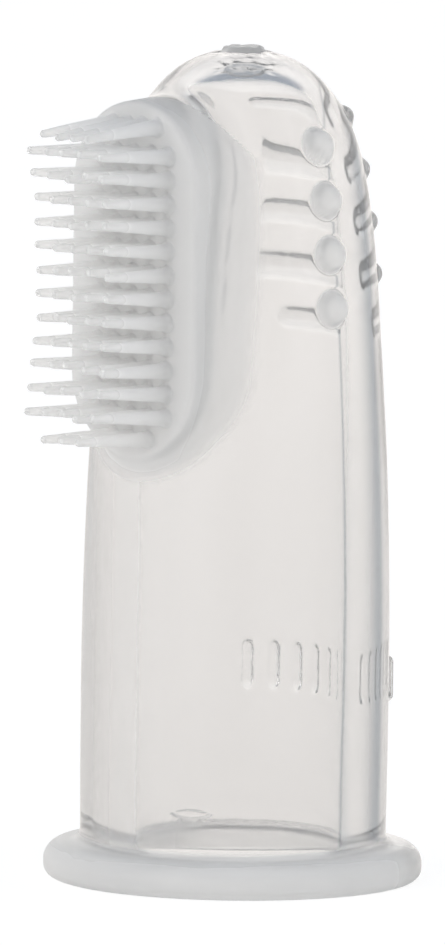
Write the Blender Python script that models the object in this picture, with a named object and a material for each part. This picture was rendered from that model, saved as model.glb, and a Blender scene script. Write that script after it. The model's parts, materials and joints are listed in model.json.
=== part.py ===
"""Silicone finger toothbrush for dogs and cats.

A thick-walled, round-tipped finger sleeve stands on a rolled flange. Its front
(-Y) carries a raised oval pad with fourteen rows of tapered bristles, its sides
carry round massage domes, its back (+Y) carries cross ribs for the gums and a
band of short grip ribs, and the tip carries the vestige of the moulding gate.

The real object is one liquid-silicone moulding. Each moulded feature is its own
closed solid here, and each bristle row turns about its own root, which stands
in for the bending of the soft bristles.

Frame: +Z up along the finger, bristles towards -Y. The origin lies on the plane
of the flange's underside, in the middle of the part's box in plan.
"""

import math

import bmesh
import bpy
from mathutils import Matrix, Vector

MM = 0.001

# ---- driving dimensions, millimetres and degrees ---------------------------
FLANGE_R = 12.75
FLANGE_T = 2.45
FLANGE_TOP_ROUND, FLANGE_TOP_STEPS = 1.30, 8
FLANGE_FOOT_ROUND, FLANGE_FOOT_STEPS = 0.80, 6
BORE_R = 6.95
SEAM = 0.04  # clear gap between two features moulded in one

# The sleeve is a turned shape: (radius, height) stations of its outside and of
# its bore, each joined by a smooth curve and ending square on the axis.
SLEEVE_FOOT = FLANGE_T + SEAM
SLEEVE_OUTSIDE = (
    (10.30, SLEEVE_FOOT), (10.36, 10.0), (10.34, 18.0), (10.07, 27.5),
    (9.55, 36.0), (8.97, 43.2), (8.18, 48.2), (7.18, 51.2), (5.85, 53.3),
    (4.20, 54.85), (2.20, 55.75), (0.0, 56.0),
)
SLEEVE_BORE = (
    (BORE_R, SLEEVE_FOOT), (BORE_R, 20.0), (6.93, 36.0), (6.32, 43.4),
    (5.85, 47.1), (4.97, 50.0), (3.90, 52.25), (2.10, 53.35), (0.0, 53.6),
)
AROUND = 48  # steps of every turned shape
MESH_STEPS = 2  # curve steps between stations in the meshes
LOOKUP_STEPS = 8  # the same, for looking up the sleeve's radius
BLANK_FOOT_DROP = 2.0  # the trimming blank reaches this far below the sleeve

# Bristle pad: an upright oval with round ends, standing out from the sleeve
PAD_FACE = 10.55  # from the sleeve's axis to the face
PAD_LOW_Z, PAD_HIGH_Z = 34.8, 47.4  # centres of the two ends
# (distance in front of the axis, end radius); the first lies within the bore
PAD_SECTIONS = ((3.0, 5.95), (9.60, 5.66), (10.20, 5.54), (10.45, 5.38), (PAD_FACE, 5.14))
PAD_END_STEPS = 12

# Bristle rows, numbered from the tip down
ROWS = 14
ROW_2_Z, ROW_PITCH = 49.56, 1.59
ROW_1_Z, ROW_14_Z = 51.44, 30.50
COLUMNS, COLUMN_PITCH = 5, 1.55
ROW_1_BRISTLES, ROW_1_PITCH = 4, 1.33
ROW_14_BRISTLES = 3
BRISTLE_ROOT_R, BRISTLE_TIP_R = 0.50, 0.29
BRISTLE_TAPER_START = 0.10  # share of the length
BRISTLE_MID_LENGTH, BRISTLE_END_EXTRA = 6.10, 0.90  # end rows stand proud of the middle ones
BRISTLE_RISE = 3.5  # degrees that a bristle leans towards the tip
BRISTLE_SIDES = 10
ROOT_BAR_R = 0.55
CHANNEL_R = 0.63
CHANNEL_END_GAP = 0.15
BAR_SIDES = 16
DIAGONAL = 0.71  # sine and cosine of 45 degrees, for a round end of one extra ring

# Massage domes on both sides, at heights between those of the cross ribs
DOME_R, DOME_BEARING, DOMES = 1.10, 84.3, 4
DOME_TOP_Z, DOME_PITCH = 50.00, 3.58

# Cross ribs on the back
RIB_R, RIBS = 0.64, 5
RIB_SINK = 0.06  # the rib's centre line lies this far under the sleeve's surface
RIB_TOP_Z, RIB_PITCH = 51.40, 3.53
RIB_HALF_SPAN, LOWEST_RIB_HALF_SPAN = 34.0, 20.0  # degrees each side of the back
RIB_STEPS, RIB_SIDES = 8, 10
RIB_END_RING = 0.7  # place of the extra ring, as a share of the round end

# Plain grip ribs low on the back
GRIP_RIBS, GRIP_STEP = 7, 13.0  # the step is in degrees
GRIP_Z, GRIP_LENGTH, GRIP_R = 13.45, 3.30, 0.55
GRIP_FLAT = 0.74  # scale across the sleeve's surface

# Gate vestige on the tip
GATE_R, GATE_TOP_Z, GATE_CHAMFER = 1.38, 56.25, 0.10
GATE_BLANK_DEPTH = 1.0  # height before the sleeve trims it


def row_z(row):
    if row == 1:
        return ROW_1_Z
    if row == ROWS:
        return ROW_14_Z
    return ROW_2_Z - ROW_PITCH * (row - 2)


def row_length(row):
    """Bristle length, growing from the middle to the second and last-but-one rows."""
    middle, half = (ROWS + 1) / 2, (ROWS - 3) / 2
    share = min(1.0, abs(row - middle) / half)
    return BRISTLE_MID_LENGTH + BRISTLE_END_EXTRA * share**2


def row_offsets(row):
    """Places of a row's bristles along X."""
    count, pitch = COLUMNS, COLUMN_PITCH
    if row == 1:
        count, pitch = ROW_1_BRISTLES, ROW_1_PITCH
    elif row == ROWS:
        count = ROW_14_BRISTLES
    return [(i - (count - 1) / 2) * pitch for i in range(count)]


def root_bar_half(row):
    return row_offsets(row)[-1] + ROOT_BAR_R


# The box in plan runs from the longest bristle's tip to the flange's back
REACH = PAD_FACE + row_length(2) * math.cos(math.radians(BRISTLE_RISE))
AXIS_Y = (REACH - FLANGE_R) / 2


# ---- scene, materials and objects ------------------------------------------
def clear_scene():
    for obj in list(bpy.data.objects):
        bpy.data.objects.remove(obj, do_unlink=True)


def silicone(name, colour, roughness):
    material = bpy.data.materials.new(name)
    material.use_nodes = True
    shader = material.node_tree.nodes["Principled BSDF"]
    shader.inputs["Base Color"].default_value = (*colour, 1.0)
    shader.inputs["Roughness"].default_value = roughness
    shader.inputs["Metallic"].default_value = 0.0
    shader.inputs["IOR"].default_value = 1.41
    material.diffuse_color = (*colour, 1.0)
    return material


def from_axis(x, y, z):
    """A point given from the sleeve's axis, in millimetres, as a world position."""
    return Vector((x * MM, (AXIS_Y + y) * MM, z * MM))


ON_AXIS = from_axis(0, 0, 0)


def make_object(name, shape, material, location, smooth_under=40.0):
    """Turns a bmesh in millimetres into a named object in metres, its faces outward."""
    bmesh.ops.scale(shape, vec=(MM, MM, MM), verts=shape.verts)
    bmesh.ops.recalc_face_normals(shape, faces=shape.faces)
    if shape.calc_volume(signed=True) < 0:
        bmesh.ops.reverse_faces(shape, faces=shape.faces)
    mesh = bpy.data.meshes.new(name)
    shape.to_mesh(mesh)
    shape.free()
    obj = bpy.data.objects.new(name, mesh)
    bpy.context.scene.collection.objects.link(obj)
    obj.location = location
    mesh.shade_smooth()
    mesh.set_sharp_from_angle(angle=math.radians(smooth_under))
    if material:
        mesh.materials.append(material)
    return obj


def make_cutter(name, shape, location):
    """A Boolean operand, kept out of renders."""
    obj = make_object(name, shape, None, location)
    obj.hide_render = True
    obj.display_type = "WIRE"
    return obj


def boolean(obj, other, operation):
    modifier = obj.modifiers.new(other.name, "BOOLEAN")
    modifier.operation = operation
    modifier.solver = "EXACT"
    modifier.object = other


# ---- curves and shapes -----------------------------------------------------
def arc(centre_x, centre_z, radius, start, sweep, steps):
    """Points round an arc, in degrees from the first axis towards the second."""
    turns = [math.radians(start + sweep * step / steps) for step in range(steps + 1)]
    return [
        (centre_x + radius * math.cos(turn), centre_z + radius * math.sin(turn)) for turn in turns
    ]


def smooth_profile(stations, per_span, offset=0.0):
    """Points of a smooth curve through (radius, height) stations, level where it meets the axis."""
    first = Vector(stations[0])
    ghost = 2 * first - Vector(stations[1])
    mirrored = Vector((-stations[-2][0], stations[-2][1]))
    knots = [ghost, *map(Vector, stations), mirrored]
    points = []
    for i in range(1, len(knots) - 2):
        before, start, end, after = knots[i - 1 : i + 3]
        chord = (end - start).length
        lead = (end - before) / (end - before).length * chord
        trail = (after - start) / (after - start).length * chord
        for step in range(per_span):
            share = step / per_span
            points.append(
                start * (2 * share**3 - 3 * share**2 + 1)
                + lead * (share**3 - 2 * share**2 + share)
                + end * (3 * share**2 - 2 * share**3)
                + trail * (share**3 - share**2)
            )
    points.append(Vector(stations[-1]))
    if not offset:
        return points

    moved = []
    for i, point in enumerate(points):
        if i == len(points) - 1:
            along = Vector((-1.0, 0.0))
        else:
            along = points[i + 1] - points[max(i - 1, 0)]
        normal = Vector((along.y, -along.x)).normalized()
        moved.append(point + normal * offset)
    return moved


def turned(profile, closed=False, gap_after=None):
    """Spins (radius, height) points round Z, leaving no edge after the point gap_after."""
    shape = bmesh.new()
    verts = [shape.verts.new((radius, 0.0, z)) for radius, z in profile]
    edges = [
        shape.edges.new((verts[i], verts[i + 1])) for i in range(len(verts) - 1) if i != gap_after
    ]
    if closed:
        edges.append(shape.edges.new((verts[-1], verts[0])))
    bmesh.ops.spin(
        shape, geom=verts + edges, axis=(0, 0, 1), cent=(0, 0, 0),
        angle=2 * math.pi, steps=AROUND, use_merge=True, use_normal_flip=False,
    )
    bmesh.ops.remove_doubles(shape, verts=shape.verts, dist=1e-5)
    return shape


def add_tube(shape, sections):
    """Joins rings of points, each with the same count, and returns the rings of vertices."""
    rings = [[shape.verts.new(point) for point in section] for section in sections]
    for first, second in zip(rings, rings[1:]):
        for side in range(len(first)):
            after = (side + 1) % len(first)
            shape.faces.new((first[side], first[after], second[after], second[side]))
    return rings


def close_to_point(shape, ring, point):
    tip = shape.verts.new(point)
    for side in range(len(ring)):
        shape.faces.new((ring[side], ring[(side + 1) % len(ring)], tip))


def add_bar(shape, radius, half_length, centre=(0, 0, 0)):
    """A round bar along X."""
    bmesh.ops.create_cone(
        shape, cap_ends=True, segments=BAR_SIDES, radius1=radius, radius2=radius,
        depth=2 * half_length,
        matrix=Matrix.Translation(centre) @ Matrix.Rotation(math.radians(90), 4, "Y"),
    )


# ---- places on the sleeve --------------------------------------------------
OUTSIDE_CURVE = smooth_profile(SLEEVE_OUTSIDE, LOOKUP_STEPS)


def bearing(degrees):
    """Unit vector round the sleeve: 0 is the bristles' side, 90 is +X, 180 the back."""
    turn = math.radians(degrees)
    return Vector((math.sin(turn), -math.cos(turn), 0.0))


def sleeve_radius(z):
    """Outside radius of the sleeve at a height, from its smooth profile."""
    low, high = next(
        pair for pair in zip(OUTSIDE_CURVE, OUTSIDE_CURVE[1:]) if pair[0].y <= z <= pair[1].y
    )
    return low.x + (high.x - low.x) * (z - low.y) / (high.y - low.y)


def on_sleeve(degrees, z):
    """World position on the sleeve's outside."""
    centre = bearing(degrees) * sleeve_radius(z)
    return from_axis(centre.x, centre.y, z)


# ---- sleeve and flange -----------------------------------------------------
def build_sleeve(material):
    outside = smooth_profile(SLEEVE_OUTSIDE, MESH_STEPS)
    bore = smooth_profile(SLEEVE_BORE, MESH_STEPS)
    # Both curves end on the axis, where they stay apart as two separate poles.
    shape = turned(outside + bore[::-1], closed=True, gap_after=len(outside) - 1)
    make_object("finger_sleeve", shape, material, ON_AXIS, smooth_under=60)


def build_sleeve_blank():
    """The sleeve's filled outside, a seam larger all round: it trims what sits on the sleeve."""
    profile = smooth_profile(SLEEVE_OUTSIDE, MESH_STEPS, SEAM)
    foot_z = profile[0].y - BLANK_FOOT_DROP
    points = [(0.0, foot_z), (profile[0].x, foot_z), *profile]
    return make_cutter("sleeve_blank", turned(points), ON_AXIS)


def build_flange(material):
    points = [
        (BORE_R, 0.0),
        *arc(
            FLANGE_R - FLANGE_FOOT_ROUND, FLANGE_FOOT_ROUND, FLANGE_FOOT_ROUND,
            start=-90, sweep=90, steps=FLANGE_FOOT_STEPS,
        ),
        *arc(
            FLANGE_R - FLANGE_TOP_ROUND, FLANGE_T - FLANGE_TOP_ROUND, FLANGE_TOP_ROUND,
            start=0, sweep=90, steps=FLANGE_TOP_STEPS,
        ),
        (BORE_R, FLANGE_T),
    ]
    make_object("base_flange", turned(points, closed=True), material, ON_AXIS, smooth_under=50)


# ---- bristle pad and rows --------------------------------------------------
def pad_outline(radius):
    """(x, z) points round the pad at one section, anticlockwise seen from the front."""
    upper = arc(0, PAD_HIGH_Z, radius, start=0, sweep=180, steps=PAD_END_STEPS)
    lower = arc(0, PAD_LOW_Z, radius, start=180, sweep=180, steps=PAD_END_STEPS)
    return upper + lower


def build_root_channels():
    """One channel across the pad's face for each row's root bar."""
    shape = bmesh.new()
    for row in range(1, ROWS + 1):
        half = root_bar_half(row) + CHANNEL_END_GAP
        add_bar(shape, CHANNEL_R, half, centre=(0, -PAD_FACE, row_z(row)))
    return make_cutter("root_channels", shape, ON_AXIS)


def build_pad(material, blank):
    shape = bmesh.new()
    loops = []
    for depth, radius in PAD_SECTIONS:
        ring = [shape.verts.new((x, -depth, z)) for x, z in pad_outline(radius)]
        loops.append([shape.edges.new(pair) for pair in zip(ring, ring[1:] + ring[:1])])
    for inner, outer in zip(loops, loops[1:]):
        bmesh.ops.bridge_loops(shape, edges=inner + outer)
    bmesh.ops.contextual_create(shape, geom=loops[0])
    bmesh.ops.contextual_create(shape, geom=loops[-1])
    pad = make_object("bristle_pad", shape, material, ON_AXIS, smooth_under=30)
    boolean(pad, blank, "DIFFERENCE")
    boolean(pad, build_root_channels(), "DIFFERENCE")


def build_bristle(row, index, offset):
    """One tapered bristle, from the root bar's axis to its rounded tip, as a Boolean operand."""
    length = row_length(row)
    # (share of the length, radius)
    stations = (
        (0.0, BRISTLE_ROOT_R),
        (BRISTLE_TAPER_START, BRISTLE_ROOT_R),
        (1.0 - BRISTLE_TIP_R / length, BRISTLE_TIP_R),
        (1.0 - (1.0 - DIAGONAL) * BRISTLE_TIP_R / length, DIAGONAL * BRISTLE_TIP_R),
    )
    turns = [2 * math.pi * (side + 0.5) / BRISTLE_SIDES for side in range(BRISTLE_SIDES)]
    shape = bmesh.new()
    rings = add_tube(shape, [
        [(radius * math.cos(turn), -share * length, radius * math.sin(turn)) for turn in turns]
        for share, radius in stations
    ])
    shape.faces.new(rings[0])
    close_to_point(shape, rings[-1], (0, -length, 0))
    rise = Matrix.Rotation(-math.radians(BRISTLE_RISE), 4, "X")
    placing = Matrix.Translation((offset, 0, 0)) @ rise
    bmesh.ops.transform(shape, matrix=placing, verts=shape.verts)
    return make_cutter(f"cut_row_{row:02d}_{index}", shape, from_axis(0, -PAD_FACE, row_z(row)))


def build_row(row, material):
    """A root bar with its bristles; its origin is on the bar's axis, where the row turns."""
    shape = bmesh.new()
    add_bar(shape, ROOT_BAR_R, root_bar_half(row))
    location = from_axis(0, -PAD_FACE, row_z(row))
    obj = make_object(f"bristle_row_{row:02d}", shape, material, location, smooth_under=30)
    for index, offset in enumerate(row_offsets(row), 1):
        boolean(obj, build_bristle(row, index, offset), "UNION")


# ---- features trimmed to the sleeve ----------------------------------------
def build_dome(name, degrees, z, material, blank):
    shape = bmesh.new()
    bmesh.ops.create_icosphere(shape, subdivisions=2, radius=DOME_R)
    obj = make_object(name, shape, material, on_sleeve(degrees, z), smooth_under=60)
    boolean(obj, blank, "DIFFERENCE")


def build_cross_rib(number, material, blank):
    """A rounded bar that wraps the back of the sleeve at one height, with round ends."""
    z = RIB_TOP_Z - RIB_PITCH * (number - 1)
    half = LOWEST_RIB_HALF_SPAN if number == RIBS else RIB_HALF_SPAN
    reach = sleeve_radius(z) - RIB_SINK
    end_turn = math.degrees(RIB_R / reach)

    # (degrees from the back, share of the rib's radius)
    stations = [(-half - end_turn * RIB_END_RING, DIAGONAL)]
    stations += [(-half + 2 * half * i / RIB_STEPS, 1.0) for i in range(RIB_STEPS + 1)]
    stations += [(half + end_turn * RIB_END_RING, DIAGONAL)]
    sections = []
    for degrees, share in stations:
        section = []
        for side in range(RIB_SIDES):
            turn = 2 * math.pi * side / RIB_SIDES
            point = bearing(180 + degrees) * (reach + RIB_R * share * math.cos(turn))
            section.append((point.x, point.y, z + RIB_R * share * math.sin(turn)))
        sections.append(section)

    shape = bmesh.new()
    rings = add_tube(shape, sections)
    for ring, degrees in ((rings[0], -half - end_turn), (rings[-1], half + end_turn)):
        end = bearing(180 + degrees) * reach
        close_to_point(shape, ring, (end.x, end.y, z))
    obj = make_object(f"massage_rib_{number}", shape, material, ON_AXIS, smooth_under=60)
    boolean(obj, blank, "DIFFERENCE")


def build_grip_rib(number, material, blank):
    """A short upright rib with round ends, flattened against the sleeve."""
    degrees = 180 + GRIP_STEP * (number - (GRIP_RIBS + 1) / 2)
    shape = bmesh.new()
    bmesh.ops.create_uvsphere(shape, u_segments=10, v_segments=8, radius=GRIP_R)
    # The halves above and below the equator move apart; the equator stays.
    straight = GRIP_LENGTH / 2 - GRIP_R
    for vert in shape.verts:
        if abs(vert.co.z) > 1e-4:
            vert.co.z += math.copysign(straight, vert.co.z)
    bmesh.ops.scale(shape, vec=(1.0, GRIP_FLAT, 1.0), verts=shape.verts)
    facing = Matrix.Rotation(math.radians(degrees), 3, "Z")
    bmesh.ops.rotate(shape, cent=(0, 0, 0), matrix=facing, verts=shape.verts)
    location = on_sleeve(degrees, GRIP_Z)
    obj = make_object(f"grip_rib_{number}", shape, material, location, smooth_under=60)
    boolean(obj, blank, "DIFFERENCE")


def build_gate(material, blank):
    """A flat disc with a chamfered top edge."""
    low = GATE_TOP_Z - GATE_BLANK_DEPTH
    points = (
        (0.0, low),
        (GATE_R, low),
        (GATE_R, GATE_TOP_Z - GATE_CHAMFER),
        (GATE_R - GATE_CHAMFER, GATE_TOP_Z),
        (0.0, GATE_TOP_Z),
    )
    obj = make_object("gate_vestige", turned(points), material, ON_AXIS, smooth_under=50)
    boolean(obj, blank, "DIFFERENCE")


def main():
    clear_scene()
    clear = silicone("clear_silicone", colour=(0.86, 0.85, 0.835), roughness=0.28)
    frosted = silicone("frosted_silicone", colour=(0.80, 0.80, 0.79), roughness=0.45)
    blank = build_sleeve_blank()
    build_sleeve(clear)
    build_flange(clear)
    build_pad(frosted, blank)
    for row in range(1, ROWS + 1):
        build_row(row, frosted)
    for side, sign in (("right", 1), ("left", -1)):  # right is +X
        for i in range(DOMES):
            z = DOME_TOP_Z - DOME_PITCH * i
            build_dome(f"massage_dome_{side}_{i + 1}", sign * DOME_BEARING, z, clear, blank)
    for number in range(1, RIBS + 1):
        build_cross_rib(number, clear, blank)
    for number in range(1, GRIP_RIBS + 1):
        build_grip_rib(number, clear, blank)
    build_gate(clear, blank)


main()
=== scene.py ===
"""Looks for a silicone finger toothbrush: one moulded skin, its bristle rows and its silicone.

The sleeve stands upright on its flange at z = 0, open below and closed by a dome above. The
bristle pad faces the front (-y), the ribs lie on the back (+y), the domes on both sides.
Shapes are worked out in millimetres from the sleeve's axis. Turns round it start at the front.
"""

import json
import math

import bmesh
import bpy
import numpy as np
from mathutils import Matrix, Vector

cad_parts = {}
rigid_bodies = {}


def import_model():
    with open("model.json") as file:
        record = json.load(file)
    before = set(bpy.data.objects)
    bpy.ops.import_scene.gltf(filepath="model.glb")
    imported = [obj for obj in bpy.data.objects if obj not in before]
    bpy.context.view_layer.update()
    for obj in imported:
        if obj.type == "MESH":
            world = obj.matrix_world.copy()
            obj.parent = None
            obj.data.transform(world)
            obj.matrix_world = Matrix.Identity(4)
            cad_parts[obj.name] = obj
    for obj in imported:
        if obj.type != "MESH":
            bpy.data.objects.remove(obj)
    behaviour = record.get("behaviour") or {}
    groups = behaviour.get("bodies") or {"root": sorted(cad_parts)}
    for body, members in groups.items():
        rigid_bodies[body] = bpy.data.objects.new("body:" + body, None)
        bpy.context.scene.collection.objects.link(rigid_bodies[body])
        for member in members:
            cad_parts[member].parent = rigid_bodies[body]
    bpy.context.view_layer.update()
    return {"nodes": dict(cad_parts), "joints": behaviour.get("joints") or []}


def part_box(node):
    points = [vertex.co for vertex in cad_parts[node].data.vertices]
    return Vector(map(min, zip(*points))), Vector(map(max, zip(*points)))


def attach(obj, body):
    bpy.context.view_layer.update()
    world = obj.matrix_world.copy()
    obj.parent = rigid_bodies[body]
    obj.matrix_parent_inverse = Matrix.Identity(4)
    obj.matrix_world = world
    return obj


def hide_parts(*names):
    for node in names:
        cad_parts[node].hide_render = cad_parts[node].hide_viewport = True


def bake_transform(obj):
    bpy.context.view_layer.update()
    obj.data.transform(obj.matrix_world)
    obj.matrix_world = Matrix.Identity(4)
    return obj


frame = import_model()

MM = 0.001

# ---------------------------------------------------------------------------
# Places and sizes from the frame
# ---------------------------------------------------------------------------
flange_low, flange_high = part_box("base_flange")
AXIS = np.array([(flange_low.x + flange_high.x) / 2, (flange_low.y + flange_high.y) / 2]) / MM
FLANGE_R = (flange_high.x - flange_low.x) / 2 / MM
FLANGE_T = flange_high.z / MM
TOP_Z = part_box("finger_sleeve")[1].z / MM
PAD_FACE = AXIS[1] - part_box("bristle_pad")[0].y / MM  # how far the pad's face is from the axis
GATE_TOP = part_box("gate_vestige")[1].z / MM
ROOT = frame["joints"][0]["parent"]
ROW_Z = {joint["child"]: joint["pos_m"][2] / MM for joint in frame["joints"]}
ROWS = sorted(ROW_Z)


def box_mm(node):
    low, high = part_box(node)
    return np.array(low) / MM - [*AXIS, 0], np.array(high) / MM - [*AXIS, 0]


def numbered_boxes(stem, most):
    """Boxes of the frame's pieces stem_1, stem_2 and so on, where they exist."""
    names = [f"{stem}_{i}" for i in range(1, most + 1)]
    return [box_mm(name) for name in names if name in frame["nodes"]]


# ---------------------------------------------------------------------------
# Turned profiles of the sleeve
# ---------------------------------------------------------------------------
# (radius, height) stations, from the bottom up to the axis
OUTSIDE = (
    (10.30, 2.49), (10.36, 10.0), (10.34, 18.0), (10.07, 27.5), (9.55, 36.0), (8.97, 43.2),
    (8.18, 48.2), (7.18, 51.2), (5.85, 53.3), (4.20, 54.85), (2.20, 55.75), (0.0, TOP_Z),
)
BORE = (
    (6.95, 0.0), (6.95, 20.0), (6.93, 36.0), (6.32, 43.4), (5.85, 47.1), (5.05, 50.1),
    (4.05, 52.55), (2.30, 53.80), (0.0, 54.1),
)
BORE_SHIFT = np.array([0.19, 0.18])  # the bore sits a little off the sleeve's axis


def smooth_profile(stations, per_span):
    """A cubic curve through the stations, level where it meets the axis."""
    points = [np.array(station, float) for station in stations]
    knots = [2 * points[0] - points[1], *points, points[-2] * [-1, 1]]
    made = []
    for i in range(1, len(knots) - 2):
        before, start, end, after = knots[i - 1 : i + 3]
        chord = np.linalg.norm(end - start)
        lead = (end - before) / np.linalg.norm(end - before) * chord
        trail = (after - start) / np.linalg.norm(after - start) * chord
        for step in range(per_span):
            t = step / per_span
            made.append(
                start * (2 * t**3 - 3 * t**2 + 1) + lead * (t**3 - 2 * t**2 + t)
                + end * (3 * t**2 - 2 * t**3) + trail * (t**3 - t**2)
            )
    made.append(points[-1])
    made = np.array(made)
    made[:, 0] = np.maximum(made[:, 0], 0)
    return made


OUTER = smooth_profile(OUTSIDE, 24)
INNER = smooth_profile(BORE, 16)


def outer_radius(z):
    return np.interp(z, OUTER[:, 1], OUTER[:, 0])


def inner_radius(z, **beyond):
    return np.interp(z, INNER[:, 1], INNER[:, 0], **beyond)


def arc(centre, radius, start, end, count):
    return [
        (centre[0] + radius * math.cos(turn), centre[1] + radius * math.sin(turn))
        for turn in np.radians(np.linspace(start, end, count))
    ]


def flange_profile():
    """From the mouth of the bore, under the flange and round its rim, to the sleeve's foot."""
    lower_r, upper_r, cove_r = 0.85, 1.30, 0.80  # roundings of the rim, and the cove above
    sleeve_r = 10.31
    points = [(BORE[0][0], 0.30), (7.04, 0.09), (7.25, 0.0)]
    points += [(r, 0.0) for r in np.linspace(7.6, FLANGE_R - lower_r - 0.1, 12)]
    points += arc((FLANGE_R - lower_r, lower_r), lower_r, -90, 0, 9)
    points += arc((FLANGE_R - upper_r, FLANGE_T - upper_r), upper_r, 0, 90, 13)
    points += arc((sleeve_r + cove_r, FLANGE_T + cove_r), cove_r, 270, 180, 9)
    return np.array(points)


FLANGE = flange_profile()
ABOVE_FLANGE = OUTER[OUTER[:, 1] > FLANGE[-1, 1] + 0.05]

# ---------------------------------------------------------------------------
# Distance fields of the moulded features
# ---------------------------------------------------------------------------
# Signed distance to the turned outside is kept on a grid of radius and height
GRID = 0.1
GRID_LOW_Z = -1
grid_r, grid_z = np.arange(0, 24, GRID), np.arange(GRID_LOW_Z, 66, GRID)


def profile_distance():
    profile = np.vstack([[(0.0, 0.0)], FLANGE, ABOVE_FLANGE])
    radius, height = np.meshgrid(grid_r, grid_z, indexing="ij")
    places = np.stack([radius.ravel(), height.ravel()], 1)
    nearest = np.full(len(places), 1e9)
    for start, end in zip(profile[:-1], profile[1:]):
        span = end - start
        length_squared = max(float(span @ span), 1e-12)
        share = np.clip(((places - start) @ span) / length_squared, 0, 1)
        away = places - (start + share[:, None] * span)
        nearest = np.minimum(nearest, (away**2).sum(1))
    distance = np.sqrt(nearest).reshape(radius.shape)
    inside = (radius < outer_radius(height)) & (height > 0) & (height < TOP_Z)
    return np.where(inside, -distance, distance)


FIELD = profile_distance()


def turned(points):
    """Distance to the turned outside, interpolated between the grid's four nearest values."""
    r = np.clip(np.hypot(points[:, 0], points[:, 1]) / GRID, 0, len(grid_r) - 1.001)
    z = np.clip((points[:, 2] - GRID_LOW_Z) / GRID, 0, len(grid_z) - 1.001)
    i, j = r.astype(int), z.astype(int)
    across, up = r - i, z - j
    return (
        FIELD[i, j] * (1 - across) * (1 - up) + FIELD[i + 1, j] * across * (1 - up)
        + FIELD[i, j + 1] * (1 - across) * up + FIELD[i + 1, j + 1] * across * up
    )


def melt(first, second, width):
    """Union of two distance fields with a fillet about width wide."""
    share = np.maximum(width - np.abs(first - second), 0) / width
    return np.minimum(first, second) - share * share * width / 4


def rounded_block(side, depth, edge):
    """Where two distances are both inside, with the edge between them rounded."""
    side, depth = side + edge, depth + edge
    outer = np.hypot(np.maximum(side, 0), np.maximum(depth, 0))
    return np.minimum(np.maximum(side, depth), 0) + outer - edge


# The pad: a slot-shaped block, widening from its face towards the sleeve
PAD_LOW_Z, PAD_HIGH_Z = 34.8, 47.4  # centres of its round ends
PAD_R, PAD_EDGE, PAD_DRAFT = 5.66, 0.32, 0.06
PAD_BACK_Y = -1.0


def from_pad_spine(points):
    """Distance from the line between the centres of the pad's ends, seen from the front."""
    z = points[:, 2]
    return np.hypot(points[:, 0], z - np.clip(z, PAD_LOW_Z, PAD_HIGH_Z))


def pad(points):
    depth = -points[:, 1] - PAD_FACE
    side = from_pad_spine(points) - (PAD_R + np.clip(-depth, 0, 6) * PAD_DRAFT)
    return np.maximum(rounded_block(side, depth, PAD_EDGE), points[:, 1] - PAD_BACK_Y)


DOME_R = 1.10


def place_domes():
    """Centres of the massage domes, on the sleeve's surface."""
    centres = []
    for side, sign in (("right", 1), ("left", -1)):
        for low, high in numbered_boxes(f"massage_dome_{side}", 8):
            y, z = (low[1:] + high[1:]) / 2
            r = float(outer_radius(z))
            centres.append(np.array([sign * math.sqrt(max(r * r - y * y, 0)), y, z]))
    return centres


def from_dome(points, centre):
    return np.sqrt(((points - centre) ** 2).sum(1))


RIB_R = 0.64


def place_ribs():
    """(height, radius of the rib's arc, half its angle) of each massage rib."""
    ribs = []
    for low, high in numbered_boxes("massage_rib", 8):
        z = (low[2] + high[2]) / 2
        reach = float(outer_radius(z)) - 0.10
        half_width = (high[0] - low[0]) / 2
        half = math.asin(min(half_width / (reach + 0.3), 1)) - 0.45 / reach
        ribs.append((z, reach, half))
    return ribs


def arc_rib(points, z, reach, half):
    near = np.clip(np.arctan2(points[:, 0], points[:, 1]), -half, half)  # 0 at the back
    return np.sqrt(
        (points[:, 0] - reach * np.sin(near)) ** 2
        + (points[:, 1] - reach * np.cos(near)) ** 2
        + (points[:, 2] - z) ** 2
    ) - RIB_R


GRIP_R, GRIP_PROUD = 0.55, 0.40


def place_grips():
    """(turn, height, half length) of each upright grip rib."""
    grips = []
    for low, high in numbered_boxes("grip_rib", 19):
        x, y, z = (low + high) / 2
        grips.append((math.atan2(x, -y), z, (high[2] - low[2]) / 2))
    return grips


def grip(points, turn, z, half):
    reach = float(outer_radius(z)) + GRIP_PROUD - GRIP_R
    x, y = reach * math.sin(turn), -reach * math.cos(turn)
    rise = points[:, 2] - z
    rise = rise - np.clip(rise, -(half - GRIP_R), half - GRIP_R)
    return np.sqrt((points[:, 0] - x) ** 2 + (points[:, 1] - y) ** 2 + rise**2) - GRIP_R


GATE_R, GATE_EDGE = 1.34, 0.09


def gate(points):
    side = np.hypot(points[:, 0], points[:, 1]) - GATE_R
    return rounded_block(side, points[:, 2] - GATE_TOP, GATE_EDGE)


domes, ribs, grips = place_domes(), place_ribs(), place_grips()


def outside(points):
    """Distance to the whole outside. Each feature is worked out only near itself."""
    distance = turned(points)
    y, z = points[:, 1], points[:, 2]

    def join(near, shape, fillet):
        if near.any():
            distance[near] = melt(distance[near], shape(points[near]), fillet)

    join(y < 1.0, pad, 1.1)
    for centre in domes:
        join(np.abs(z - centre[2]) < 2.2, lambda p: from_dome(p, centre) - DOME_R, 0.35)
    for rib in ribs:
        join((np.abs(z - rib[0]) < 1.8) & (y > 0), lambda p: arc_rib(p, *rib), 0.62)
    for place in grips:
        near = (np.abs(z - place[1]) < place[2] + 1.0) & (y > 0)
        join(near, lambda p: grip(p, *place), 0.16)
    join(z > 53.5, gate, 0.16)
    return distance


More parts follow.
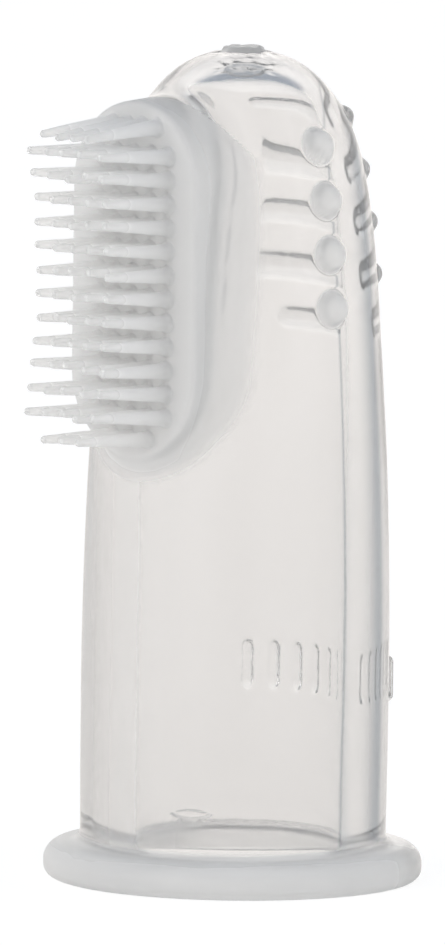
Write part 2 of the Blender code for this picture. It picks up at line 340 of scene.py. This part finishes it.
# ---------------------------------------------------------------------------
# The skin: rays from the axis meet the outside, and the bore closes it
# ---------------------------------------------------------------------------
RAY_START = 3.4  # height of the lowest level ray
FAN_Z = 41.0  # above this the rays fan out from one point
FAN_MM = 17.0  # the 90 degrees of fan are spaced as this much height
RAY_LENGTH = 19.5  # where each ray's search starts, outside everything
BORE_FAN_Z = 38.0  # height the bore's own fan starts from
N_TURN = 528
N_ROW = 330


def spaced(low, high, density, count):
    """count + 1 values from low to high, closer together where density is high."""
    fine = np.linspace(low, high, 4001)
    total = np.cumsum((density(fine[:-1]) + density(fine[1:])) / 2)
    total = np.concatenate([[0], total])
    return np.interp(np.linspace(0, total[-1], count + 1), total, fine)


def turn_density(degrees):
    """Denser at 36 and 88 degrees from the front, and round the back."""
    away = np.abs((degrees + 180) % 360 - 180)
    return (
        1.0 + 2.2 * np.exp(-(((away - 36) / 8) ** 2)) + 1.6 * np.exp(-(((away - 88) / 7) ** 2))
        + 0.5 * (away > 136)
    )


def row_density(s):
    """s is the height up to FAN_Z, and the way through the fan above."""
    return 0.9 + 2.2 * ((s > 5.2) & (s < 6.3)) + 0.9 * ((s > 11) & (s < 16)) + 1.1 * (s > 27.5)


turns = np.radians(spaced(0, 360, turn_density, N_TURN)[:-1])
around = np.stack([np.sin(turns), -np.cos(turns)], 1)


def march(origins, directions):
    """Walk every ray inwards until it meets the outside."""
    most_steps, caution, tolerance = 90, 0.92, 2e-4
    far = np.full(len(origins), RAY_LENGTH)
    live = np.arange(len(origins))
    for _ in range(most_steps):
        distance = outside(origins[live] + directions[live] * far[live, None])
        far[live] -= np.clip(distance, -0.5, 3.0) * caution
        live = live[np.abs(distance) > tolerance]
        if not len(live):
            break
    return origins + directions * far[:, None]


def upper_rings():
    rows = spaced(RAY_START, FAN_Z + FAN_MM, row_density, N_ROW)[:-1]
    lean = np.maximum(rows - FAN_Z, 0) / FAN_MM * math.pi / 2
    directions = np.empty((len(rows), len(turns), 3))
    directions[..., :2] = around * np.cos(lean)[:, None, None]
    directions[..., 2] = np.sin(lean)[:, None]
    origins = np.zeros_like(directions)
    origins[..., 2] = np.minimum(rows, FAN_Z)[:, None]
    return march(origins.reshape(-1, 3), directions.reshape(-1, 3)).reshape(directions.shape)


def press_mark(points):
    """The moulder's lens-shaped mark, a shallow groove low on the front right."""
    centre_turn, centre_z, surface_r = math.radians(27), 5.60, 10.35
    half_width, half_height, groove = 1.50, 0.36, 0.045
    turn = np.arctan2(points[..., 0], -points[..., 1]) - centre_turn
    along = turn * surface_r / half_width
    up = (points[..., 2] - centre_z) / half_height
    lens = np.where(np.abs(along) < 1, 1 - along**2 - np.abs(up), -1)
    depth = groove * np.exp(-(((lens - 0.18) / 0.20) ** 2))
    flat = points[..., :2]
    outward = flat / np.maximum(np.linalg.norm(flat, axis=-1, keepdims=True), 1e-6)
    points[..., :2] -= outward * depth[..., None]


def gate_scars(points):
    """The torn gate leaves the crown's middle slightly uneven."""
    depth, fade_r, fade_width = 0.045, 3.0, 1.4
    x, y = points[..., 0], points[..., 1]
    near = np.clip((fade_r - np.hypot(x, y)) / fade_width, 0, 1) * (points[..., 2] > 54)
    rough = (
        np.sin(3.1 * x + 1.3 * np.sin(2.3 * y)) * np.cos(2.7 * y - 0.8 * x)
        + 0.5 * np.sin(5.9 * y + 2.0 * x)
    )
    points[..., 2] -= depth * near * (1 + rough)


def revolve(profile, share):
    """Rings of (radius, height) points, each moved by its share of the bore's shift."""
    rings = np.empty((len(profile), len(turns), 3))
    rings[..., :2] = around * profile[:, 0, None, None] + BORE_SHIFT * share[:, None, None]
    rings[..., 2] = profile[:, 1, None]
    return rings


def lower_rings():
    """The flange and the sleeve's foot. The bore's shift fades out under the flange."""
    foot = ABOVE_FLANGE[ABOVE_FLANGE[:, 1] < RAY_START - 0.05]
    profile = np.vstack([FLANGE, foot])
    share = np.clip((11.0 - profile[:, 0]) / 4.0, 0, 1) * (profile[:, 1] < 1.0)
    return revolve(profile, share)


def bore_rings():
    heights = np.concatenate([[0.9, 1.6], np.linspace(2.6, 36, 40)])
    bore = [(float(inner_radius(z)), z) for z in heights]
    reach = np.linspace(0, 20, 2001)
    for lean in np.radians(np.linspace(0, 90, 56)[1:-1]):
        # where the fan's ray meets the bore's profile
        z = BORE_FAN_Z + reach * math.sin(lean)
        gap = inner_radius(z, right=0) - reach * math.cos(lean)
        gap[z > INNER[-1, 1]] = -1
        k = int(np.argmax(gap < 0))
        share = gap[k - 1] / max(gap[k - 1] - gap[k], 1e-9)
        meet = reach[k - 1] + (reach[k] - reach[k - 1]) * min(max(share, 0), 1)
        bore.append((meet * math.cos(lean), BORE_FAN_Z + meet * math.sin(lean)))
    bore = np.array(bore)
    bore = bore[np.argsort(bore[:, 1], kind="stable")]
    return revolve(bore, np.ones(len(bore)))


def skin_mesh():
    """Rings from the bore's top, down, round the flange and up to the crown, with both poles."""
    upper = upper_rings()
    press_mark(upper)
    gate_scars(upper)
    rings = np.concatenate([bore_rings()[::-1], lower_rings(), upper])
    count, n = rings.shape[:2]
    poles = np.array([[*BORE_SHIFT, INNER[-1, 1]], [0, 0, GATE_TOP]])
    verts = np.vstack([rings.reshape(-1, 3), poles])
    side = np.arange(n)
    following = (side + 1) % n
    i = np.arange(count - 1)[:, None] * n
    quads = np.stack([i + side, i + following, i + n + following, i + n + side], -1)
    bore_pole, crown_pole = len(verts) - 2, len(verts) - 1
    last = (count - 1) * n
    tris = np.vstack([
        np.stack([np.full(n, bore_pole), following, side], 1),
        np.stack([np.full(n, crown_pole), last + side, last + following], 1),
    ])
    return verts, list(quads.reshape(-1, 4)) + list(tris)


def to_object(name, verts, faces):
    """A mesh object from points in millimetres from the sleeve's axis."""
    verts = (np.asarray(verts, float) + [*AXIS, 0]) * MM
    mesh = bpy.data.meshes.new(name)
    mesh.from_pydata(verts.tolist(), [], [list(map(int, face)) for face in faces])
    mesh.validate()
    obj = bpy.data.objects.new(name, mesh)
    bpy.context.scene.collection.objects.link(obj)
    return obj


skin_verts, skin_faces = skin_mesh()
skin = to_object("moulded_body", skin_verts, skin_faces)
skin.data.shade_smooth()

# ---------------------------------------------------------------------------
# Bristles: tapered, round-tipped, flaring into the pad at their roots
# ---------------------------------------------------------------------------
ROOT_R, NECK_R, TIP_R = 0.82, 0.54, 0.27
FLARE, FLARE_WIDTH, BURY = 0.42, 0.26, 0.12
SIDES = 20
rng = np.random.default_rng(7)


def row_layout(number):
    """(bristles, pitch, droop at the tips) of a row."""
    if number == 1:
        return 4, 1.33, -0.80
    if number == len(ROWS):
        return 3, 1.55, -0.22
    return 5, 1.55, 0.0


def bristle_rings(length):
    """(distance from the pad's face, radius) stations from the buried root to the tip."""
    rings = [(-BURY, ROOT_R)]
    for turn in np.radians(np.linspace(12, 90, 6)):
        radius = NECK_R + FLARE_WIDTH * (1 - math.sin(turn))
        rings.append((FLARE * (1 - math.cos(turn)) - 0.03, radius))
    for share in np.linspace(0.12, 1, 12):
        at = FLARE + (length - TIP_R - FLARE) * share
        rings.append((at, NECK_R + (TIP_R - NECK_R) * share**0.9))
    for turn in np.radians(np.linspace(15, 78, 5)):
        rings.append((length - TIP_R + TIP_R * math.sin(turn), TIP_R * math.cos(turn)))
    return rings


def add_bristle(verts, faces, x0, z0, row_length, droop):
    wobble = rng.normal(0, 1, 4)
    length = row_length * 0.996 + 0.05 * wobble[0] - 0.05
    rise = math.sin(math.radians(3.5 + 0.9 * wobble[1]))
    sway = math.sin(math.radians(0.8 * wobble[2]))
    base = len(verts)
    rings = bristle_rings(length)
    for at, radius in rings:
        out = max(at, 0)
        x = x0 + sway * out
        z = z0 + rise * out + droop * (out / length) ** 1.2
        for side in range(SIDES):
            turn = 2 * math.pi * side / SIDES
            ring_x, ring_z = radius * math.cos(turn), radius * math.sin(turn)
            verts.append((x + ring_x, -PAD_FACE - at, z + ring_z))
    for i in range(len(rings) - 1):
        for side in range(SIDES):
            a = base + i * SIDES + side
            b = base + i * SIDES + (side + 1) % SIDES
            faces.append((a, b, b + SIDES, a + SIDES))
    verts.append((x0 + sway * length, -PAD_FACE - length, z0 + rise * length + droop))
    tip, last = len(verts) - 1, base + (len(rings) - 1) * SIDES
    for side in range(SIDES):
        faces.append((last + side, last + (side + 1) % SIDES, tip))
    faces.append(tuple(base + side for side in reversed(range(SIDES))))


def row_length(row):
    return -box_mm(row)[0][1] - PAD_FACE


def build_row(row):
    verts, faces = [], []
    number = int(row[-2:])
    count, pitch, droop = row_layout(number)
    for i in range(count):
        x = (i - (count - 1) / 2) * pitch
        add_bristle(verts, faces, x, ROW_Z[row], row_length(row), droop)
    obj = to_object(f"bristles_{number:02d}", verts, faces)
    bm = bmesh.new()
    bm.from_mesh(obj.data)
    bmesh.ops.recalc_face_normals(bm, faces=bm.faces)
    bm.to_mesh(obj.data)
    bm.free()
    obj.data.shade_smooth()
    return obj


bristles = {row: build_row(row) for row in ROWS}


# ---------------------------------------------------------------------------
# Frost: how milky each point looks, 0 clear to 1 frosted
# ---------------------------------------------------------------------------
def smoothstep(x, start, end):
    """0 at start, 1 at end. start may be the larger."""
    t = np.clip((np.asarray(x, float) - start) / (end - start), 0, 1)
    return t * t * (3 - 2 * t)


def write_frost(obj, values):
    attribute = obj.data.attributes.new("frost", "FLOAT", "POINT")
    attribute.data.foreach_set("value", np.asarray(values, np.float32))


def skin_frost(points):
    """Thick or matt-moulded places show against the clear wall."""
    y, z = points[:, 1], points[:, 2]
    radius = np.hypot(points[:, 0], y)
    # the pad, milkiest towards its face
    on_pad = smoothstep(from_pad_spine(points), start=7.7, end=6.4)
    on_pad *= smoothstep(y, start=-4.6, end=-6.2) * (radius > 8.0)
    on_pad *= 0.60 + 0.40 * smoothstep(y, start=-7.8, end=-10.2)
    # the flange, fading up the sleeve, into the bore and towards the back
    on_flange = 1 - smoothstep(z, start=1.9, end=3.4)
    on_flange *= smoothstep(radius, start=6.6, end=9.0) * (1 - 0.7 * smoothstep(y, start=2, end=8))
    on_dome = np.zeros(len(points))
    for centre in domes:
        fade = smoothstep(from_dome(points, centre), start=1.15, end=1.45)
        on_dome = np.maximum(on_dome, 0.80 * (1 - fade))
    on_rib = np.zeros(len(points))
    proud = radius - outer_radius(z)
    for rib in ribs:
        fade = smoothstep(arc_rib(points, *rib), start=0.02, end=0.35)
        on_rib = np.maximum(on_rib, 0.22 * (1 - fade) * (proud > -0.2))
    on_gate = 0.6 * smoothstep(z, start=55.2, end=55.9) * (radius < 1.6)
    return np.clip(np.maximum.reduce([on_pad, on_flange, on_dome, on_rib, on_gate]), 0, 1)


def bristle_frost(obj):
    """Frosted at the root, clear beyond the tip's side of the middle."""
    y = np.array([vertex.co.y for vertex in obj.data.vertices]) / MM - AXIS[1]
    out = -y - PAD_FACE
    return 1 - smoothstep(out / out.max(), start=0.50, end=1.02)


# ---------------------------------------------------------------------------
# Shader graphs
# ---------------------------------------------------------------------------
class Graph:
    """Adds nodes to a shader tree. Inputs are values to set or sockets to link."""

    def __init__(self, tree):
        self.tree = tree

    def node(self, kind, inputs=None, **settings):
        node = self.tree.nodes.new("ShaderNode" + kind)
        for name, value in settings.items():
            setattr(node, name, value)
        for key, value in (inputs or {}).items():
            if isinstance(value, bpy.types.NodeSocket):
                self.tree.links.new(value, node.inputs[key])
            else:
                node.inputs[key].default_value = value
        return node

    def add(self, kind, inputs=None, output=0, **settings):
        """A node's output socket."""
        return self.node(kind, inputs, **settings).outputs[output]

    def maths(self, kind, first, second):
        return self.add("Math", {0: first, 1: second}, operation=kind)

    def map_range(self, value, source=(0.0, 1.0), target=(0.0, 1.0), ease="LINEAR"):
        inputs = {
            "Value": value, "From Min": source[0], "From Max": source[1],
            "To Min": target[0], "To Max": target[1],
        }
        return self.add("MapRange", inputs, "Result", interpolation_type=ease)

    def rise(self, value, low, high, target=(0.0, 1.0)):
        return self.map_range(value, (low, high), target, "SMOOTHSTEP")

    def mix_colour(self, factor, first, second):
        """Colours are sockets or (red, green, blue)."""
        inputs = {"Factor": factor}
        for key, colour in (("A", first), ("B", second)):
            inputs[key] = (*colour, 1) if isinstance(colour, tuple) else colour
        return self.add("Mix", inputs, "Result", data_type="RGBA")

    def mix_shader(self, factor, first, second):
        return self.add("MixShader", {0: factor, 1: first, 2: second})

    def to_camera(self, vector, kind):
        return self.add(
            "VectorTransform", {0: vector},
            vector_type=kind, convert_from="WORLD", convert_to="CAMERA",
        )

    def is_camera_ray(self):
        return self.add("LightPath", output="Is Camera Ray")


def new_material(name):
    material = bpy.data.materials.new(name)
    material.use_nodes = True
    material.node_tree.nodes.clear()
    return material, Graph(material.node_tree)


# ---------------------------------------------------------------------------
# Silicone
# ---------------------------------------------------------------------------
IOR = 1.41
GRAIN_DEPTH = 0.00002
# painted shade: the blue-grey that the clear wall's colour is darkened to near its right outline
PAINTED_EDGE_SHADE = (0.25, 0.295, 0.34)


def painted_edge_band(graph, flow):
    """Painted shade where the wall turns to the right of the view, for the camera's own rays only.

    A soft band of painted shade lies near the outline, and a painted dark line at the bore's side."""
    normal = graph.to_camera(graph.add("NewGeometry", output="Normal"), "NORMAL")
    aside = graph.add("SeparateXYZ", {0: normal}, "X")

    def hump(value, low, peak):
        """Multiplies a rise by the fall that follows it."""
        return graph.maths("MULTIPLY", value, graph.maths("SUBTRACT", 1.0, peak))

    slow = graph.maths("POWER", graph.rise(aside, 0.78, 0.93), 2.0)
    band = hump(slow, 0.0, graph.rise(aside, 0.935, 0.972))
    waver = graph.maths("MULTIPLY", graph.maths("SUBTRACT", flow, 0.5), 0.05)
    wavy = graph.maths("ADD", aside, waver)
    line = hump(graph.rise(wavy, 0.682, 0.698), 0.0, graph.rise(wavy, 0.698, 0.714))
    both = graph.maths("MAXIMUM", band, graph.maths("MULTIPLY", line, 0.75))
    return graph.maths("MULTIPLY", both, graph.is_camera_ray())


def silicone(name, tint, milk, rough, milk_share, bump, facing, murk=None, edge=False):
    """Silicone rubber: refraction with some milk in it, more where frost says.

    rough and milk_share are (clear, frosted) pairs. facing is how much of the milk's light
    turns back. murk is the (scattering, absorption) inside, per metre. edge paints shade into
    the clear wall's colour where it turns away to the right of the view."""
    material, graph = new_material(name)
    place = graph.add("TexCoord", output="Object")
    frost = graph.add("Attribute", output="Fac", attribute_name="frost")

    def noise(scale, detail, squash=1.0):
        vector = graph.add("Mapping", {"Vector": place, "Scale": (1.0, 1.0, squash)})
        inputs = {"Scale": scale, "Detail": detail, "Vector": vector}
        return graph.add("TexNoise", inputs, "Fac")

    def by_frost(pair, low, high):
        """A (clear, frosted) pair, varied between low and high by the flow."""
        varied = graph.map_range(flow, target=(low, high))
        return graph.maths("MULTIPLY", graph.map_range(frost, target=pair), varied)

    def dimmed(colour, share):
        return tuple(channel * share for channel in colour)

    flow = noise(scale=130.0, detail=3.0, squash=0.35)  # faint flow of the rubber
    fine = noise(scale=2600.0, detail=2.0)  # the mould's grain
    cloud = noise(scale=420.0, detail=2.0)
    grain = graph.add(
        "Bump", {"Strength": bump, "Distance": GRAIN_DEPTH, "Height": fine}, "Normal"
    )

    colour = graph.mix_colour(flow, tint, dimmed(tint, 0.985))
    # painted shade: the clear wall's colour is darkened in a band and a fine line at the right of
    # the view, in place of the dark that refraction of the surroundings would show
    if edge:
        clearness = graph.map_range(frost, target=(1.0, 0.0))
        shade = graph.maths("MULTIPLY", painted_edge_band(graph, flow), clearness)
        colour = graph.mix_colour(shade, colour, PAINTED_EDGE_SHADE)
    clear = graph.add("BsdfPrincipled", {
        "Transmission Weight": 1.0, "IOR": IOR, "Base Color": colour,
        "Roughness": by_frost(rough, 0.75, 1.25), "Normal": grain,
    })

    milky = graph.mix_colour(cloud, milk, dimmed(milk, 0.975))
    through = graph.add("BsdfTranslucent", {"Color": milky})
    face = graph.add("BsdfDiffuse", {"Color": milky, "Normal": grain})
    soft = graph.mix_shader(facing, through, face)
    outputs = {"Surface": graph.mix_shader(by_frost(milk_share, 0.92, 1.08), clear, soft)}
    if murk:
        haze = graph.add("VolumeScatter", {
            "Color": (1, 1, 1, 1), "Density": murk[0], "Anisotropy": 0.2,
        })
        dim = graph.add("VolumeAbsorption", {"Color": (0.0, 0.02, 0.04, 1), "Density": murk[1]})
        outputs["Volume"] = graph.add("AddShader", {0: haze, 1: dim})
    graph.node("OutputMaterial", outputs)
    return material


# the clear silicone gets painted shade at its right edge (edge=True)
CLEAR = silicone(
    "clear_silicone", tint=(0.995, 0.992, 0.990), milk=(0.95, 0.95, 0.945), rough=(0.04, 0.30),
    milk_share=(0.03, 0.88), bump=0.12, facing=0.5, murk=(14.0, 24.0), edge=True,
)
FROST = silicone(
    "frosted_silicone", tint=(0.985, 0.985, 0.98), milk=(0.96, 0.96, 0.958), rough=(0.20, 0.30),
    milk_share=(0.55, 0.92), bump=0.2, facing=0.36,
)

skin.data.materials.append(CLEAR)
write_frost(skin, skin_frost(skin_verts))
for obj in bristles.values():
    obj.data.materials.append(FROST)
    write_frost(obj, bristle_frost(obj))

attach(skin, ROOT)
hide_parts(*[node for node in frame["nodes"] if node not in ROWS])
for row, obj in bristles.items():
    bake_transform(obj)
    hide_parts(row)

# ---------------------------------------------------------------------------
# Render settings and studio, in metres
# ---------------------------------------------------------------------------
scene = bpy.context.scene
scene.view_settings.view_transform = "Standard"
scene.cycles.max_bounces = 24
scene.cycles.transmission_bounces = 24
scene.cycles.transparent_max_bounces = 16
scene.cycles.diffuse_bounces = 10
scene.cycles.glossy_bounces = 8
scene.cycles.volume_bounces = 2

CENTRE = Vector((AXIS[0] * MM, AXIS[1] * MM, 0))
AIM = CENTRE + Vector((0, 0, 0.028))
VIEW_AZ, VIEW_EL, VIEW_ROLL = 43.0, 6.3, 0.8  # degrees

# The studio turns with the camera: a pale warm sheet behind the object, dimmer walls beside
# and behind the camera, a dim bluish ceiling, and one broad soft source at the front left.
# (degrees to the right of the view, colour)
TENT = (
    (-180, (0.76, 0.76, 0.76)), (-120, (0.66, 0.66, 0.66)), (-88, (0.80, 0.79, 0.78)),
    (-62, (0.97, 0.94, 0.91)), (0, (1.0, 0.965, 0.935)), (52, (1.0, 0.965, 0.935)),
    (66, (0.80, 0.80, 0.79)), (90, (0.78, 0.78, 0.78)), (180, (0.76, 0.76, 0.76)),
)
DUSK = (1.20, 1.17, 1.14)  # the sheet's own glow, just above the horizon behind the object
CEILING = (0.37, 0.41, 0.47)
SOURCE_AT, SOURCE_GAIN = (-0.85, 0.12, -0.50), 0.62


def tent_colour(graph, direction):
    """The studio's colour in a world direction."""
    unit = graph.add("VectorMath", {0: direction}, operation="NORMALIZE")
    seen = graph.to_camera(unit, "VECTOR")
    seen_parts = graph.node("SeparateXYZ", {0: seen}).outputs
    height = graph.add("SeparateXYZ", {0: unit}, "Z")
    turn = graph.maths("ARCTAN2", seen_parts["X"], seen_parts["Z"])

    share = graph.map_range(turn, source=(-math.pi, math.pi))
    walls = graph.node("ValToRGB", {"Fac": share})
    ramp = walls.color_ramp
    ramp.interpolation = "EASE"
    while len(ramp.elements) < len(TENT):
        ramp.elements.new(0.5)
    for element, (degrees, colour) in zip(ramp.elements, TENT):
        element.position = (degrees + 180) / 360
        element.color = (*colour, 1)

    # the sheet brightens with distance
    gain = graph.map_range(height, source=(-0.40, -0.08), target=(1.0, 1.06))
    sheet = graph.add(
        "VectorMath", {0: walls.outputs["Color"], "Scale": gain}, operation="SCALE"
    )
    above = graph.rise(height, -0.02, 0.07)
    beside = graph.rise(turn, math.radians(10), math.radians(40), target=(1.0, 0.25))
    low_sky = graph.mix_colour(graph.maths("MULTIPLY", above, beside), sheet, DUSK)
    roof = graph.mix_colour(graph.rise(height, 0.38, 0.65), low_sky, CEILING)

    toward = graph.add(
        "VectorMath", {0: seen, 1: Vector(SOURCE_AT).normalized()}, "Value",
        operation="DOT_PRODUCT",
    )
    source = graph.map_range(toward, (0.45, 0.97), (0.0, SOURCE_GAIN), "SMOOTHERSTEP")
    return graph.add("VectorMath", {0: roof, 1: source}, operation="ADD")


def build_tent():
    """The camera itself sees the wall as white as the table."""
    world = bpy.data.worlds.new("studio")
    world.use_nodes = True
    tree = world.node_tree
    graph = Graph(tree)
    tent = tent_colour(graph, graph.add("TexCoord", output="Generated"))
    colour = graph.mix_colour(graph.is_camera_ray(), tent, (1, 1, 1))
    tree.links.new(colour, tree.nodes["Background"].inputs["Color"])
    scene.world = world


def build_floor():
    """A plain glowing white table. What the rubber refracts of it is the studio's light."""
    bpy.ops.mesh.primitive_plane_add(size=2.4, location=CENTRE + Vector((0, 0, -0.0001)))
    floor = bpy.context.object
    floor.name = "studio_floor"
    material, graph = new_material("studio_floor")
    grain = graph.add("TexNoise", {"Scale": 900}, "Fac")
    paper = graph.add("BsdfPrincipled", {
        "Base Color": graph.mix_colour(grain, (0.30, 0.30, 0.30), (0.32, 0.32, 0.32)),
        "Roughness": 1.0, "Specular IOR Level": 0.0,
        "Emission Color": (1, 1, 1, 1), "Emission Strength": 0.80,
    })
    spot = graph.add("NewGeometry", output="Position")
    eye = CENTRE + Vector((0, 0, 0.03))
    away = graph.add("VectorMath", {0: spot, 1: eye}, operation="SUBTRACT")
    glow = graph.add("Emission", {"Color": tent_colour(graph, away)})
    surface = graph.mix_shader(graph.is_camera_ray(), glow, paper)
    graph.node("OutputMaterial", {"Surface": surface})
    floor.data.materials.append(material)


def way_to(azimuth, elevation):
    """Unit vector at an azimuth from the front towards +x, in degrees."""
    turn, lift = math.radians(azimuth), math.radians(elevation)
    level = math.cos(lift)
    return Vector((math.sin(turn) * level, -math.cos(turn) * level, math.sin(lift)))


def area_light(name, azimuth, elevation, distance, size, power):
    way = way_to(azimuth, elevation)
    light = bpy.data.lights.new(name, "AREA")
    light.shape = "DISK"
    light.size = size
    light.energy = power
    obj = bpy.data.objects.new(name, light)
    obj.location = AIM + way * distance
    obj.rotation_mode = "QUATERNION"
    obj.rotation_quaternion = way.to_track_quat("Z", "Y")
    obj.visible_glossy = False
    obj.visible_transmission = False
    obj.visible_camera = False
    scene.collection.objects.link(obj)


def build_camera():
    """A long lens at the object's front right, a little above it."""
    distance = 1.2
    view_height = 0.063504  # height of the view at the sleeve's axis
    data = bpy.data.cameras.new("camera")
    camera = bpy.data.objects.new("camera", data)
    scene.collection.objects.link(camera)
    scene.camera = camera
    back = way_to(VIEW_AZ, VIEW_EL)
    camera.location = AIM + back * distance
    roll = Matrix.Rotation(math.radians(VIEW_ROLL), 3, "Z")
    rotation = back.to_track_quat("Z", "Y").to_matrix() @ roll
    camera.rotation_mode = "QUATERNION"
    camera.rotation_quaternion = rotation.to_quaternion()
    data.sensor_fit = "AUTO"
    data.sensor_width = 36
    data.lens = data.sensor_width * distance / view_height
    # places the aim point a little right of the middle of the view, and above it
    data.shift_x = -0.0162963
    data.shift_y = -0.00915386
    data.clip_start = 0.01
    data.clip_end = 20


build_tent()
build_floor()
area_light(
    "top_softbox", azimuth=VIEW_AZ - 40, elevation=65, distance=0.40, size=0.25, power=0.04
)
area_light(
    "side_kicker", azimuth=VIEW_AZ + 75, elevation=22, distance=0.065, size=0.05, power=0.008
)
build_camera()
